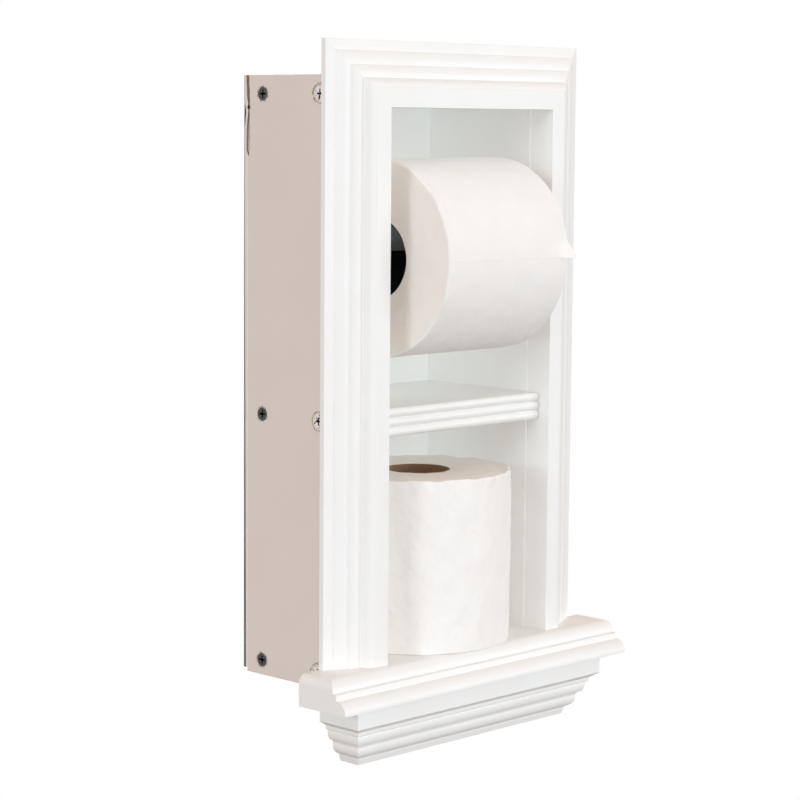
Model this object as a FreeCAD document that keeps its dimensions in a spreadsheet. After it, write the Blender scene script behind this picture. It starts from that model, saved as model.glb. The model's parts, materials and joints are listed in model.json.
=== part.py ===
"""Recessed toilet paper holder: a painted wooden niche that sits in a wall cut-out.

A box of four boards with a thin back panel is framed by a mitred stepped casing.  Below the
casing is a moulded ledge on a stepped apron with mitred returns.  A spring roller carries a
hung roll in the upper half, a shelf with a reeded nosing divides the niche, and a spare roll
stands on the floor.

Frame: X to the right, Y into the wall, Z up, millimetres.  The origin is the middle of the
box outline on the wall's surface, so everything with a negative Y stands in the room.
"""
import FreeCAD
import Part
import Sketcher
import os
from FreeCAD import Placement, Rotation, Vector

SIZES = {
    # The niche and the boards round it
    "niche_width": 144.6,
    "lower_space": 138.2,
    "upper_space": 182.3,
    "board_thickness": 19.05,
    "board_depth": 88.9,
    "panel_thickness": 3.2,
    "panel_lift": 2.4,
    # The shelf and its reeded nosing
    "shelf_thickness": 17.6,
    "nosing_depth": 11.3,
    "nosing_gap": 1.0,
    "reed_count": 3,
    # The mitred casing round the opening
    "casing_width": 40.0,
    "casing_thickness": 19.05,
    "casing_set_back": 0.7,
    "casing_overhang": 0.5,
    # The ledge and the apron under it
    "ledge_length": 258.7,
    "ledge_depth": 40.0,
    "ledge_thickness": 19.8,
    "ledge_left_rounding": 6.0,
    "ledge_right_rounding": 2.5,
    "apron_length": 224.0,
    "apron_depth": 33.0,
    "apron_height": 40.0,
    # Countersunk screws through the sides
    "screw_length": 44.0,
    "screw_radius": 2.1,
    "screw_head_radius": 4.2,
    "screw_head_depth": 2.6,
    "screw_point": 5.0,
    "screw_tip_radius": 0.3,
    "screw_from_front": 24.0,
    "screw_from_back": 14.0,
    "top_screw_drop": 2.0,
    "recess_span": 5.2,
    "recess_width": 1.2,
    "recess_depth": 1.8,
    "fastener_gap": 0.05,
    # Nails of the back panel and brads of the mouldings
    "nail_radius": 0.8,
    "nail_length": 19.0,
    "nail_head_radius": 2.2,
    "nail_head_depth": 0.7,
    "nail_spacing": 104.0,
    "brad_radius": 0.7,
    "brad_length": 32.0,
    "brad_cover": 3.0,
    "brad_inset": 6.0,
    # The spring roller
    "roller_radius": 9.75,
    "roller_wall": 0.8,
    "roller_forward": 11.5,
    "roller_end_gap": 0.8,
    "barrel_length": 82.0,
    "plunger_overlap": 26.0,
    "plunger_travel": 12.0,
    "slide_gap": 0.08,
    "plug_length": 8.0,
    "tip_radius": 3.2,
    "tip_length": 6.3,
    "tip_taper_length": 1.5,
    "tip_taper_depth": 1.0,
    "socket_gap": 0.1,
    "socket_depth": 8.0,
    "spring_wire": 0.45,
    "spring_radius": 5.6,
    "spring_turns": 12.0,
    "spring_seat": 0.05,
    # The paper rolls
    "hung_core_radius": 24.0,
    "spare_core_radius": 20.6,
    "core_wall": 0.6,
    "hung_radius": 61.0,
    "hung_length": 107.6,
    "hung_drop": 1.2,
    "hang_gap": 0.3,
    "spare_radius": 60.0,
    "spare_length": 108.5,
    "spare_back_gap": 0.4,
    "floor_gap": 0.3,
    "sheet_thickness": 0.4,
    "sheet_angle": 92.0,
}

# Moulded sections, as shares of the section's own two sizes.  Each corner is
# (across, along, bulge): the bulge is the rise of the arc to the next corner over its chord,
# positive where the moulding swells and 0 on a straight run.
CASING_SECTION = (
    # across: from the outer edge to the opening; along: from the wall to the face
    (0.000, 0.00, 0), (0.000, 0.19, 0), (0.160, 0.27, 0), (0.172, 0.32, 0.10),
    (0.370, 0.47, 0), (0.390, 0.54, 0.10), (0.560, 0.66, 0), (0.575, 0.73, 0.16),
    (0.690, 0.96, 0.10), (0.730, 1.00, 0), (1.000, 1.00, 0), (1.000, 0.00, 0),
)
LEDGE_SECTION = (
    # across: from the wall to the front; along: down from the top
    (0.000, 0.00, 0), (0.550, 0.00, 0.20), (0.735, 0.37, 0), (0.800, 0.40, 0),
    (0.810, 0.58, 0.20), (1.000, 0.92, 0), (1.000, 1.00, 0), (0.000, 1.00, 0),
)
APRON_SECTION = (
    # across: from the wall to the front; along: down from the ledge
    (0.000, 0.000, 0), (1.000, 0.000, 0), (1.000, 0.305, 0), (0.850, 0.385, 0),
    (0.840, 0.445, 0), (0.790, 0.465, 0.12), (0.745, 0.620, -0.20), (0.660, 0.690, 0.16),
    (0.560, 0.858, -0.20), (0.500, 0.912, 0), (0.460, 1.000, 0), (0.000, 1.000, 0),
)
REED_BULGE = 0.36
# How far, in millimetres, a mitre cut or a bore runs past the stock that it cuts
OVERCUT = 5
QUARTER_ROUND = (2 ** 0.5 - 1) / 2

ALONG_X = Rotation(Vector(0, 1, 0), 90)
AGAINST_X = Rotation(Vector(0, 1, 0), -90)
ALONG_Y = Rotation(Vector(1, 0, 0), -90)
AGAINST_Y = Rotation(Vector(1, 0, 0), 90)
ALONG_Z = Rotation()
# A turning axis along X whose angle starts at the top and runs towards the room
FROM_TOP_TO_FRONT = Rotation(Vector(0, 0, 1), Vector(0, -1, 0), Vector(1, 0, 0), "ZXY")

# Places that several pieces share, as formulas
NICHE_HEIGHT = "(Sizes.lower_space + Sizes.shelf_thickness + Sizes.upper_space)"
FLOOR = f"(-{NICHE_HEIGHT} / 2)"
CEILING = f"({NICHE_HEIGHT} / 2)"
HALF_NICHE = "(Sizes.niche_width / 2)"
HALF_BOX = "(Sizes.niche_width / 2 + Sizes.board_thickness)"
# At the sides the casing is set back from the niche, so a thin line of the boards' edges shows
OPENING = "(Sizes.niche_width / 2 + Sizes.casing_set_back)"
HALF_CASING = f"({OPENING} + Sizes.casing_width)"
SHELF_UNDER = f"({FLOOR} + Sizes.lower_space)"
ROLLER_Y = "Sizes.roller_forward"
# The hung roll is near the middle of the upper space, and the roller lies along its core's top
HUNG_Z = f"({CEILING} - Sizes.upper_space / 2 - Sizes.hung_drop)"
ROLLER_Z = f"({HUNG_Z} + Sizes.hung_core_radius - Sizes.hang_gap - Sizes.roller_radius)"
SPARE_Y = "(Sizes.board_depth - Sizes.spare_back_gap - Sizes.spare_radius)"
SCREW_ROWS = (
    f"({CEILING} + Sizes.board_thickness / 2 - Sizes.top_screw_drop)",
    f"({SHELF_UNDER} + Sizes.shelf_thickness / 2)",
    f"({FLOOR} - Sizes.board_thickness / 2)",
)
SCREW_COLUMNS = (
    "Sizes.screw_from_front",
    "(Sizes.board_depth - Sizes.screw_from_back)",
)
FACE_BRAD_Y = "(-Sizes.casing_thickness + Sizes.brad_cover)"
LEDGE_BRAD_Z = f"({FLOOR} - Sizes.brad_cover)"

doc = FreeCAD.newDocument("toilet_paper_holder")
sizes = doc.addObject("Spreadsheet::Sheet", "Sizes")
nodes = []


def fill_sheet():
    for row, (alias, value) in enumerate(SIZES.items(), start=1):
        sizes.set(f"A{row}", alias)
        sizes.set(f"B{row}", str(value))
        sizes.setAlias(f"B{row}", alias)
    doc.recompute()


def node(thing, label):
    """Name a finished sub-part and put it on the list that is written out."""
    thing.Label = label
    nodes.append(thing)
    return thing


def bind(thing, **formulas):
    for name, formula in formulas.items():
        thing.setExpression(name, str(formula))
    return thing


def place(thing, corner, turn=ALONG_Z):
    thing.Placement = Placement(Vector(), turn)
    for axis, formula in zip("xyz", corner):
        thing.setExpression(f"Placement.Base.{axis}", str(formula))
    return thing


def block(name, size, corner):
    box = doc.addObject("Part::Box", name)
    bind(box, Length=size[0], Width=size[1], Height=size[2])
    return place(box, corner)


def rod(name, radius, length, start, turn):
    cylinder = doc.addObject("Part::Cylinder", name)
    bind(cylinder, Radius=radius, Height=length)
    return place(cylinder, start, turn)


def taper(name, first_radius, last_radius, length, start, turn):
    cone = doc.addObject("Part::Cone", name)
    bind(cone, Radius1=first_radius, Radius2=last_radius, Height=length)
    return place(cone, start, turn)


def fuse(name, pieces):
    joined = doc.addObject("Part::MultiFuse", name)
    joined.Shapes = pieces
    return joined


def group(name, pieces):
    several = doc.addObject("Part::Compound", name)
    several.Links = pieces
    return several


def cut(name, base, tool):
    result = doc.addObject("Part::Cut", name)
    result.Base = base
    result.Tool = tool
    return result


def mirrored(name, source):
    """The same piece on the other side of the middle plane X = 0."""
    twin = doc.addObject("Part::Mirroring", name)
    twin.Source = source
    twin.Normal = Vector(1, 0, 0)
    return twin


def new_body(name):
    body = doc.addObject("PartDesign::Body", name)
    doc.recompute()
    return body


def sketch_on(body, role, name):
    sketch = body.newObject("Sketcher::SketchObject", name)
    plane = [part for part in body.Origin.OriginFeatures if part.Role == role][0]
    sketch.AttachmentSupport = [(plane, "")]
    sketch.MapMode = "FlatFace"
    doc.recompute()
    return sketch


def arc_between(first, last, bulge):
    """The arc that leaves the chord by bulge times its length, and which end it starts at."""
    chord = last - first
    rise = abs(bulge) * chord.Length
    radius = (chord.Length ** 2 / 4 + rise ** 2) / (2 * rise)
    side = Vector(-chord.y, chord.x, 0).normalize()
    swell = 1 if bulge > 0 else -1
    centre = (first + last) * 0.5 + side * (swell * (radius - rise))
    circle = Part.Circle(centre, Vector(0, 0, 1), radius)
    start, end = (first, last) if bulge > 0 else (last, first)
    arc = Part.ArcOfCircle(circle, circle.parameter(start), circle.parameter(end))
    return arc, radius


def outline(sketch, corners):
    """A closed, fully held outline.  Each corner is (x, y, bulge to the next); where there are
    arcs, the corners run anticlockwise."""
    points = [Vector(float(sketch.evalExpression(x)), float(sketch.evalExpression(y)), 0)
              for x, y, bulge in corners]
    ends = []
    for index, (x, y, bulge) in enumerate(corners):
        follow = (index + 1) % len(corners)
        if bulge:
            arc, radius = arc_between(points[index], points[follow], bulge)
            edge = sketch.addGeometry(arc)
            ends.append((edge, 1, 2) if bulge > 0 else (edge, 2, 1))
            run_x, run_y = f"({corners[follow][0]} - {x})", f"({corners[follow][1]} - {y})"
            share = (1 + 4 * bulge ** 2) / (8 * abs(bulge))
            held = sketch.addConstraint(Sketcher.Constraint("Radius", edge, radius))
            sketch.setExpression(f"Constraints[{held}]",
                                 f"{share} * sqrt({run_x}^2 + {run_y}^2)")
        else:
            edge = sketch.addGeometry(Part.LineSegment(points[index], points[follow]))
            ends.append((edge, 1, 2))
    for index, (x, y, bulge) in enumerate(corners):
        edge, start, end = ends[index]
        before, start_before, end_before = ends[index - 1]
        sketch.addConstraint(Sketcher.Constraint("Coincident", before, end_before, edge, start))
        hold_corner(sketch, edge, start, points[index], x, y)


def hold_corner(sketch, edge, end, point, x, y):
    for kind, axis, value, formula in (("DistanceX", -2, point.x, x),
                                       ("DistanceY", -1, point.y, y)):
        if formula == "0":
            sketch.addConstraint(Sketcher.Constraint("PointOnObject", edge, end, axis))
        else:
            held = sketch.addConstraint(Sketcher.Constraint(kind, -1, 1, edge, end, value))
            sketch.setExpression(f"Constraints[{held}]", formula)


def pad(body, sketch, length, symmetric=False, reverse=False):
    solid = body.newObject("PartDesign::Pad", f"{body.Name}_pad")
    solid.Profile = sketch
    solid.setExpression("Length", length)
    solid.Midplane = symmetric
    solid.Reversed = reverse
    doc.recompute()
    return solid


def cut_through(body, sketch, name):
    opening = body.newObject("PartDesign::Pocket", name)
    opening.Profile = sketch
    opening.Type = "ThroughAll"
    opening.Midplane = True
    doc.recompute()
    return opening


def share(fraction, size):
    """A formula for a share of a size, kept as a plain 0 where there is none."""
    return f"({fraction} * {size})" if fraction else "0"


def screw(name, start, turn, gap):
    """A countersunk screw that enters at start; gap makes it the hole that the head seats in."""
    x, y, z = start
    deeper = "1" if turn is ALONG_X else "-1"
    head_end = f"({x} + {deeper} * Sizes.screw_head_depth)"
    point_start = f"({x} + {deeper} * (Sizes.screw_length - Sizes.screw_point))"
    return fuse(name, [
        taper(f"{name}_head", "Sizes.screw_head_radius", f"Sizes.screw_radius + {gap}",
              "Sizes.screw_head_depth", start, turn),
        rod(f"{name}_shank", f"Sizes.screw_radius + {gap}",
            "Sizes.screw_length - Sizes.screw_point - Sizes.screw_head_depth",
            (head_end, y, z), turn),
        taper(f"{name}_point", f"Sizes.screw_radius + {gap}", f"Sizes.screw_tip_radius + {gap}",
              f"Sizes.screw_point + {gap}", (point_start, y, z), turn),
    ])


def cross_recess(name, y, z):
    """The cross cut into the head of a screw that enters the left side."""
    return fuse(name, [
        block(f"{name}_upright", ("Sizes.recess_depth", "Sizes.recess_width", "Sizes.recess_span"),
              (f"-{HALF_BOX}", f"{y} - Sizes.recess_width / 2", f"{z} - Sizes.recess_span / 2")),
        block(f"{name}_level", ("Sizes.recess_depth", "Sizes.recess_span", "Sizes.recess_width"),
              (f"-{HALF_BOX}", f"{y} - Sizes.recess_span / 2", f"{z} - Sizes.recess_width / 2")),
    ])


def left_screws():
    screws = []
    for row, z in enumerate(SCREW_ROWS, start=1):
        for column, y in enumerate(SCREW_COLUMNS, start=1):
            name = f"screw_{row}_{column}"
            blank = screw(f"{name}_blank", (f"-{HALF_BOX}", y, z), ALONG_X, "0")
            screws.append(cut(name, blank, cross_recess(f"{name}_recess", y, z)))
    return group("left_screw_group", screws)


def screw_holes(name, rows, sides):
    holes = []
    for side, turn in sides:
        for row in rows:
            for y in SCREW_COLUMNS:
                start = (f"{side} * {HALF_BOX}", y, SCREW_ROWS[row])
                holes.append(screw(f"{name}_{len(holes)}", start, turn, "Sizes.fastener_gap"))
    return holes


def nail_places():
    """Middles of the back panel's nails: along both sides, and one in each crossing board."""
    side = f"({HALF_BOX} - Sizes.board_thickness / 2)"
    levels = [f"({step} * Sizes.nail_spacing)" for step in (-1.5, -0.5, 0.5, 1.5)]
    places = [(sign + side, level) for sign in ("-", "") for level in levels]
    return places + [("0", row) for row in SCREW_ROWS]


def nail(name, x, z, gap):
    back = "(Sizes.board_depth + Sizes.panel_thickness)"
    shank = rod(f"{name}_shank", f"Sizes.nail_radius + {gap}", f"Sizes.nail_length + {gap}",
                (x, back, z), AGAINST_Y)
    if gap != "0":
        return shank
    head = rod(f"{name}_head", "Sizes.nail_head_radius", "Sizes.nail_head_depth",
               (x, back, z), ALONG_Y)
    return fuse(name, [shank, head])


def nails(name, gap, wanted):
    return [nail(f"{name}_{index}", x, z, gap)
            for index, (x, z) in enumerate(nail_places()) if index in wanted]


def face_brad_places():
    """Middles of the brads that hold the casing to the front edges of the boards."""
    beside = f"({HALF_NICHE} + Sizes.brad_inset)"
    above = f"({CEILING} + Sizes.brad_inset)"
    levels = [share(step, NICHE_HEIGHT) for step in (-0.4, 0, 0.4)]
    places = {"left": [(f"-{beside}", level) for level in levels]}
    places["right"] = [(beside, level) for level in levels]
    places["top"] = [(share(step, "Sizes.niche_width"), above) for step in (-0.3, 0.3)]
    return places


def face_brads(name, group_name, gap):
    return [rod(f"{name}_{group_name}_{index}", f"Sizes.brad_radius + {gap}",
                f"Sizes.brad_length + {gap}", (x, FACE_BRAD_Y, z), ALONG_Y)
            for index, (x, z) in enumerate(face_brad_places()[group_name])]


def apron_brads(name, gap):
    """Upright brads from inside the ledge into the apron."""
    return [rod(f"{name}_{index}", f"Sizes.brad_radius + {gap}", f"Sizes.brad_length + {gap}",
                (share(step, "Sizes.apron_length"), "-Sizes.apron_depth / 2", LEDGE_BRAD_Z),
                Rotation(Vector(1, 0, 0), 180))
            for index, step in enumerate((-0.3, 0, 0.3))]


def socket(name, start, turn):
    """The blind hole in a side board that takes one tip of the roller."""
    return rod(name, "Sizes.tip_radius + Sizes.socket_gap", "Sizes.socket_depth", start, turn)


def side_boards():
    height = f"{NICHE_HEIGHT} + 2 * Sizes.board_thickness"
    blank = block("side_blank", ("Sizes.board_thickness", "Sizes.board_depth", height),
                  (f"-{HALF_BOX}", "0", f"{FLOOR} - Sizes.board_thickness"))
    holes = screw_holes("side_screw_hole", (0, 1, 2), (("-1", ALONG_X),))
    holes.append(socket("left_socket", (f"-{HALF_NICHE}", ROLLER_Y, ROLLER_Z), AGAINST_X))
    holes += nails("side_nail_hole", "Sizes.fastener_gap", range(4))
    holes += face_brads("side_brad_hole", "left", "Sizes.fastener_gap")
    left = node(cut("side_board", blank, group("side_holes", holes)), "left_side_board")
    node(mirrored("side_board_twin", left), "right_side_board")


def crossing_board(label, row, underside, thickness, brads):
    """A board screwed between the sides."""
    blank = block(f"{label}_blank", ("Sizes.niche_width", "Sizes.board_depth", thickness),
                  (f"-{HALF_NICHE}", "0", underside))
    holes = screw_holes(f"{label}_screw_hole", (row,), (("-1", ALONG_X), ("1", AGAINST_X)))
    holes += nails(f"{label}_nail_hole", "Sizes.fastener_gap", (8 + row,))
    holes += brads
    node(cut(f"{label}_cut", blank, group(f"{label}_holes", holes)), label)


def carcass():
    side_boards()
    crossing_board("top_board", 0, CEILING, "Sizes.board_thickness",
                   face_brads("top_brad_hole", "top", "Sizes.fastener_gap"))
    crossing_board("shelf_board", 1, SHELF_UNDER, "Sizes.shelf_thickness", [])
    crossing_board("bottom_board", 2, f"{FLOOR} - Sizes.board_thickness",
                   "Sizes.board_thickness", [])
    height = f"{NICHE_HEIGHT} + 2 * Sizes.board_thickness - Sizes.panel_lift"
    sheet = block("panel_blank", (f"2 * {HALF_BOX}", "Sizes.panel_thickness", height),
                  (f"-{HALF_BOX}", "Sizes.board_depth",
                   f"{FLOOR} - Sizes.board_thickness + Sizes.panel_lift"))
    holes = group("panel_holes", nails("panel_nail_hole", "Sizes.fastener_gap", range(11)))
    node(cut("panel_cut", sheet, holes), "back_panel")


def nosing():
    """The reeded strip on the shelf's front edge: equal half-round reeds, one above another."""
    body = new_body("nosing")
    reeds = int(sizes.get("reed_count"))
    reed = f"(Sizes.shelf_thickness / {reeds})"
    base = f"(-Sizes.nosing_depth + {REED_BULGE} * {reed})"
    rows = [(base, f"({SHELF_UNDER} + {reeds - count} * {reed})") for count in range(reeds + 1)]
    corners = [("0", rows[0][1], 0)]
    corners += [(y, z, REED_BULGE) for y, z in rows[:-1]]
    corners += [(rows[-1][0], rows[-1][1], 0), ("0", rows[-1][1], 0)]
    sketch = sketch_on(body, "YZ_Plane", "nosing_section")
    outline(sketch, corners)
    pad(body, sketch, f"2 * ({HALF_NICHE} - Sizes.nosing_gap)", symmetric=True)
    node(body, "shelf_nosing")


def casing_stile():
    """The left stile: its section padded up from the ledge and cut to a mitre at the top."""
    body = new_body("stile")
    sketch = sketch_on(body, "XY_Plane", "stile_section")
    outline(sketch, [(f"(-{HALF_CASING} + {across} * Sizes.casing_width)",
                      "0" if along == 0 else f"(-{along} * Sizes.casing_thickness)", bulge)
                     for across, along, bulge in CASING_SECTION])
    length = f"({NICHE_HEIGHT} - Sizes.casing_overhang + Sizes.casing_width)"
    pad(body, sketch, length)
    mitre = sketch_on(body, "XZ_Plane", "stile_mitre")
    inner, outer = f"(-{OPENING} + {OVERCUT})", f"(-{HALF_CASING})"
    inner_top = f"({length} - Sizes.casing_width - {OVERCUT})"
    beyond = f"({length} + {OVERCUT})"
    outline(mitre, [(outer, length, 0), (inner, inner_top, 0), (inner, beyond, 0),
                    (outer, beyond, 0)])
    cut_through(body, mitre, "stile_mitre_cut")
    body.setExpression("Placement.Base.z", FLOOR)
    return body


def casing_rail():
    """The top rail: its section padded across and cut to a mitre at both ends."""
    body = new_body("rail")
    top = f"({CEILING} - Sizes.casing_overhang + Sizes.casing_width)"
    sketch = sketch_on(body, "YZ_Plane", "rail_section")
    outline(sketch, [("0" if along == 0 else f"(-{along} * Sizes.casing_thickness)",
                      f"({top} - {across} * Sizes.casing_width)", bulge)
                     for across, along, bulge in CASING_SECTION])
    pad(body, sketch, f"2 * {HALF_CASING}", symmetric=True)
    for side in ("-", ""):
        mitre = sketch_on(body, "XZ_Plane", f"rail_mitre_{len(body.Group)}")
        outer, inner = f"({side}{HALF_CASING})", f"({side}({OPENING} - {OVERCUT}))"
        beyond = f"({side}({HALF_CASING} + {OVERCUT}))"
        low = f"({top} - Sizes.casing_width - {OVERCUT})"
        outline(mitre, [(inner, low, 0), (outer, top, 0), (beyond, top, 0), (beyond, low, 0)])
        cut_through(body, mitre, f"{mitre.Name}_cut")
    return body


def casing():
    stile = casing_stile()
    holes = group("stile_brad_holes", face_brads("stile_brad_hole", "left", "Sizes.fastener_gap"))
    left = node(cut("stile_cut", stile, holes), "casing_left_stile")
    node(mirrored("stile_twin", left), "casing_right_stile")
    holes = group("rail_brad_holes", face_brads("rail_brad_hole", "top", "Sizes.fastener_gap"))
    node(cut("rail_cut", casing_rail(), holes), "casing_top_rail")
    brads = [brad for side in ("left", "right", "top") for brad in face_brads("brad", side, "0")]
    node(group("casing_brad_group", brads), "casing_brads")


def ledge():
    """The moulded ledge, with both ends rounded over at the top."""
    body = new_body("shelf_ledge")
    sketch = sketch_on(body, "YZ_Plane", "ledge_section")
    outline(sketch, [(share(-across, "Sizes.ledge_depth"),
                      f"({FLOOR} - {along} * Sizes.ledge_thickness)", bulge)
                     for across, along, bulge in LEDGE_SECTION])
    pad(body, sketch, "Sizes.ledge_length", symmetric=True)
    for side, rounding in (("-", "Sizes.ledge_left_rounding"), ("", "Sizes.ledge_right_rounding")):
        ends = sketch_on(body, "XZ_Plane", f"ledge_rounding_{len(body.Group)}")
        end = f"({side}Sizes.ledge_length / 2)"
        start = f"({side}(Sizes.ledge_length / 2 - {rounding}))"
        low = f"({FLOOR} - {rounding})"
        curve = [(end, low), (start, FLOOR)] if side else [(start, FLOOR), (end, low)]
        outline(ends, [(*curve[0], -QUARTER_ROUND), (*curve[1], 0), (end, FLOOR, 0)])
        cut_through(body, ends, f"{ends.Name}_cut")
    holes = group("ledge_brad_holes", apron_brads("ledge_brad_hole", "Sizes.fastener_gap"))
    node(cut("ledge_cut", body, holes), "ledge")


def apron():
    """The stepped apron: a front mitred at both ends, and a return behind each mitre."""
    under = f"({FLOOR} - Sizes.ledge_thickness)"
    front = new_body("apron_front_body")
    sketch = sketch_on(front, "YZ_Plane", "apron_section")
    outline(sketch, [(share(-across, "Sizes.apron_depth"),
                      f"({under} - {along} * Sizes.apron_height)", bulge)
                     for across, along, bulge in APRON_SECTION])
    pad(front, sketch, "Sizes.apron_length", symmetric=True)
    half = "(Sizes.apron_length / 2)"
    root = f"({half} - Sizes.apron_depth)"
    for side in ("-", ""):
        mitre = sketch_on(front, "XY_Plane", f"apron_mitre_{len(front.Group)}")
        beyond = f"({side}({half} + {OVERCUT}))"
        outline(mitre, [(f"({side}{half})", "(-Sizes.apron_depth)", 0),
                        (f"({side}{root})", "0", 0), (beyond, "0", 0),
                        (beyond, "(-Sizes.apron_depth)", 0)])
        cut_through(front, mitre, f"{mitre.Name}_cut")
    holes = group("apron_brad_holes", apron_brads("apron_brad_hole", "Sizes.fastener_gap"))
    node(cut("apron_cut", front, holes), "apron_front")
    node(group("apron_brad_group", apron_brads("apron_brad", "0")), "apron_brads")

    end = new_body("apron_return_body")
    sketch = sketch_on(end, "XZ_Plane", "return_section")
    outline(sketch, [(f"(-{root} - {across} * Sizes.apron_depth)",
                      f"({under} - {along} * Sizes.apron_height)", bulge)
                     for across, along, bulge in APRON_SECTION])
    pad(end, sketch, "Sizes.apron_depth")
    mitre = sketch_on(end, "XY_Plane", "return_mitre")
    beyond = f"(-{root} + {OVERCUT})"
    outline(mitre, [(f"(-{half})", "(-Sizes.apron_depth)", 0),
                    (beyond, "(-Sizes.apron_depth)", 0), (beyond, "0", 0),
                    (f"(-{root})", "0", 0)])
    cut_through(end, mitre, "return_mitre_cut")
    left = node(end, "apron_left_return")
    node(mirrored("apron_return_twin", left), "apron_right_return")


def fasteners():
    left = node(left_screws(), "left_side_screws")
    node(mirrored("screw_twin", left), "right_side_screws")
    node(group("nail_group", nails("nail", "0", range(11))), "back_panel_nails")


def tube(name, radius, wall, length, start):
    """A tube along X from its left end."""
    x, y, z = start
    inside = rod(f"{name}_bore", f"{radius} - {wall}", f"{length} + {2 * OVERCUT}",
                 (f"{x} - {OVERCUT}", y, z), ALONG_X)
    return cut(name, rod(f"{name}_outside", radius, length, start, ALONG_X), inside)


def plug(name, label, shoulder, outward, bore):
    """A tip with its plug pressed into the end of a roller tube; outward is 1 or -1 along X."""
    turn, back = (ALONG_X, AGAINST_X) if outward == 1 else (AGAINST_X, ALONG_X)
    start = (shoulder, ROLLER_Y, ROLLER_Z)
    straight = "(Sizes.tip_length - Sizes.tip_taper_length)"
    point = (f"{shoulder} + {outward} * {straight}", ROLLER_Y, ROLLER_Z)
    node(fuse(name, [
        rod(f"{name}_plug", bore, "Sizes.plug_length", start, back),
        rod(f"{name}_tip", "Sizes.tip_radius", straight, start, turn),
        taper(f"{name}_point", "Sizes.tip_radius", "Sizes.tip_radius - Sizes.tip_taper_depth",
              "Sizes.tip_taper_length", point, turn),
    ]), label)


def roller():
    """Two tubes that slide in one another on a spring, with a tip at each end."""
    left = f"(-{HALF_NICHE} + Sizes.roller_end_gap)"
    right = f"({HALF_NICHE} - Sizes.roller_end_gap)"
    bore = "(Sizes.roller_radius - Sizes.roller_wall)"
    inner = f"({bore} - Sizes.slide_gap)"
    inner_bore = f"({inner} - Sizes.roller_wall)"
    barrel_end = f"({left} + Sizes.barrel_length)"
    plunger_start = f"({barrel_end} - Sizes.plunger_overlap)"
    node(tube("barrel", "Sizes.roller_radius", "Sizes.roller_wall", "Sizes.barrel_length",
              (left, ROLLER_Y, ROLLER_Z)), "roller_barrel")
    plug("left_plug", "roller_left_tip", left, -1, bore)
    start = (plunger_start, ROLLER_Y, ROLLER_Z)
    sleeve = tube("sleeve", inner, "Sizes.roller_wall", f"{right} - {plunger_start}", start)
    floor = rod("sleeve_floor", inner, "Sizes.roller_wall", start, ALONG_X)
    node(fuse("sleeve_closed", [sleeve, floor]), "roller_plunger")
    plug("right_plug", "roller_right_tip", right, 1, inner_bore)
    spring(f"({left} + Sizes.plug_length + Sizes.spring_seat)",
           f"({plunger_start} - Sizes.spring_seat)")


def spring(first, last):
    """The coil between the left tip's plug and the closed end of the plunger."""
    coil = doc.addObject("Part::Helix", "coil")
    bind(coil, Radius="Sizes.spring_radius", Height=f"{last} - {first} - 2 * Sizes.spring_wire",
         Pitch=f"({last} - {first} - 2 * Sizes.spring_wire) / Sizes.spring_turns")
    wire = doc.addObject("Part::Circle", "coil_wire")
    bind(wire, Radius="Sizes.spring_wire")
    place(wire, ("Sizes.spring_radius", "0", "0"), Rotation(Vector(1, 0, 0), 90))
    sweep = doc.addObject("Part::Sweep", "coil_sweep")
    doc.recompute()
    sweep.Sections = [wire]
    sweep.Spine = (coil, [f"Edge{count + 1}" for count in range(len(coil.Shape.Edges))])
    sweep.Solid = True
    sweep.Frenet = True
    place(sweep, (f"{first} + Sizes.spring_wire", ROLLER_Y, ROLLER_Z), ALONG_X)
    node(sweep, "roller_spring")


def ring(name, outer, inner, length, start, turn):
    hole = rod(f"{name}_hole", inner, length, start, turn)
    return cut(name, rod(f"{name}_round", outer, length, start, turn), hole)


def paper_rolls():
    outside = "(Sizes.hung_core_radius + Sizes.core_wall)"
    start = ("-Sizes.hung_length / 2", ROLLER_Y, HUNG_Z)
    node(ring("hung_paper", "Sizes.hung_radius", outside, "Sizes.hung_length", start, ALONG_X),
         "paper_roll")
    node(ring("hung_core", outside, "Sizes.hung_core_radius", "Sizes.hung_length", start, ALONG_X),
         "paper_roll_core")
    sheet = ring("sheet", "(Sizes.hung_radius + Sizes.sheet_thickness)", "Sizes.hung_radius",
                 "Sizes.hung_length", start, FROM_TOP_TO_FRONT)
    bind(sheet.Base, Angle="Sizes.sheet_angle")
    node(sheet, "paper_tail")
    outside = "(Sizes.spare_core_radius + Sizes.core_wall)"
    start = ("0", SPARE_Y, f"{FLOOR} + Sizes.floor_gap")
    node(ring("spare_paper", "Sizes.spare_radius", outside, "Sizes.spare_length", start,
              ALONG_Z), "spare_roll")
    node(ring("spare_core", outside, "Sizes.spare_core_radius", "Sizes.spare_length", start,
              ALONG_Z), "spare_roll_core")


def check_and_write():
    doc.recompute()
    failed = [thing.Name for thing in doc.Objects
              if "Invalid" in thing.State or "Error" in thing.State]
    if failed:
        raise RuntimeError(f"failed objects: {failed}")
    os.makedirs("parts", exist_ok=True)
    for thing in nodes:
        if thing.Shape.isNull() or not thing.Shape.isValid():
            raise RuntimeError(f"bad shape: {thing.Label}")
    for thing in nodes:
        thing.Shape.exportStep(f"parts/{thing.Label}.step")
        print(f"{thing.Label}: {len(thing.Shape.Solids)} solid(s), {thing.Shape.Volume:.0f} mm3")


fill_sheet()
carcass()
nosing()
casing()
ledge()
apron()
fasteners()
roller()
paper_rolls()
check_and_write()
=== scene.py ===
# %% [markdown]
# # A recessed toilet paper holder
# The real object is a painted wooden niche. Four boards and a thin back panel make a box that
# goes into a hole in the wall, and a stepped casing, a moulded ledge and an apron cover the
# hole's edge. A spring roller carries one roll, and a spare roll stands under the shelf.
# The design model already gives every size, so it is loaded first and never changed. All that
# follows gives its pieces their real surfaces: eased edges, enamel, chipped screws, soft paper.

# %% Load the design model
import json
import math

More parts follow.
